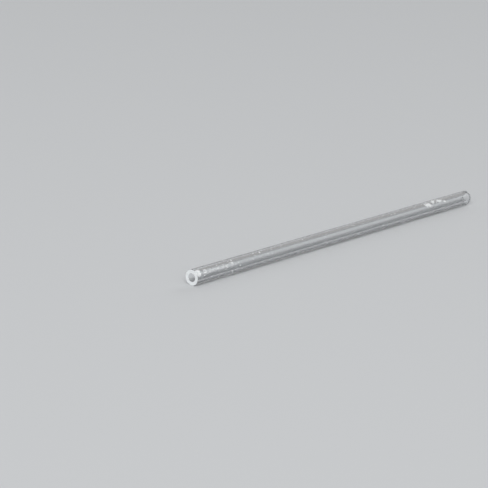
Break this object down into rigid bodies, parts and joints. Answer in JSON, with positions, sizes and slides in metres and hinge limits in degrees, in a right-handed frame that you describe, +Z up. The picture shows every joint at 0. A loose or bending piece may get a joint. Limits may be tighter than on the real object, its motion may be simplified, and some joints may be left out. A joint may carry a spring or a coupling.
{
  "type": "glass capillary tube",
  "caption": "Straight thick-walled glass capillary tube with a through bore, sawn and ground ends, and a shell-shaped breakout at one end.",
  "frame": {"origin": "middle of the line along which the lying tube touches the surface, half-way between the two sawn ends", "axes": "+X along the tube's axis, from the end with the breakout to the other end; +Z up from the surface that the tube lies on"},
  "size_m": [0.09, 0.003, 0.003],
  "materials": {
    "glass": "clear drawn wall with matt ground ends"
  },
  "bodies": {
    "root": {"capillary_tube": "glass"}
  },
  "joints": []
}
